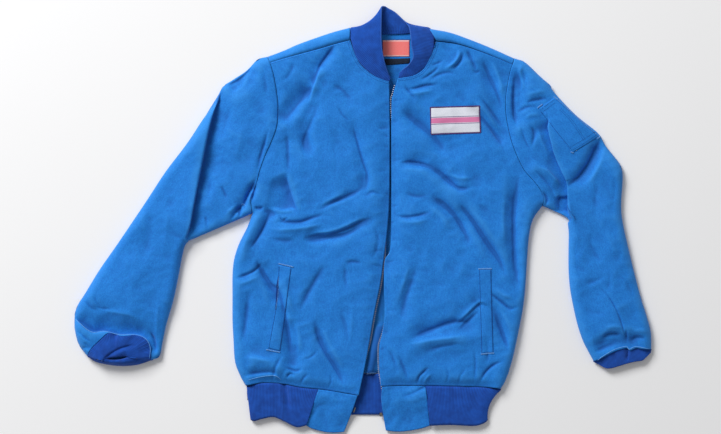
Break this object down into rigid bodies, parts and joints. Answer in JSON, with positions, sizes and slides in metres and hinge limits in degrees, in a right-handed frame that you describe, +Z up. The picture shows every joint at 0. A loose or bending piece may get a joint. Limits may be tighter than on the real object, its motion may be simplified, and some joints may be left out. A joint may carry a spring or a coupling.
{
  "type": "work jacket",
  "caption": "Zip-front twill work jacket with rib-knit collar, cuffs and waistband, laid flat on its back, unzipped.",
  "frame": {"origin": "on the floor under the middle of the laid out jacket", "axes": "+Z is up out of the front, +Y points to the collar, +X to the wearer's left sleeve"},
  "size_m": [1.0946, 0.8056, 0.0264],
  "materials": {
    "twill": "matt cotton twill",
    "rib_knit": "matt two by two rib knit",
    "zip_tape": "woven tape",
    "zip_metal": "dulled",
    "label": "satin woven label",
    "size_strip": "woven strip",
    "patch": "plain pale cloth patch"
  },
  "bodies": {
    "root": {"back": "twill", "front_right": "twill", "front_left": "twill", "sleeve_right": "twill", "sleeve_left": "twill", "collar": "rib_knit", "waist_rib": "rib_knit", "cuff_right": "rib_knit", "cuff_left": "rib_knit", "tab_right": "twill", "tab_left": "twill", "zip_tape_right": "zip_tape", "zip_tape_left": "zip_tape", "zip_pin": "zip_metal", "zip_box": "zip_metal", "zip_slider": "zip_metal", "welt_right": "twill", "welt_left": "twill", "sleeve_pocket": "twill", "chest_patch": "patch", "neck_facing": "twill", "neck_label": "label", "size_strip": "size_strip"}
  },
  "joints": []
}
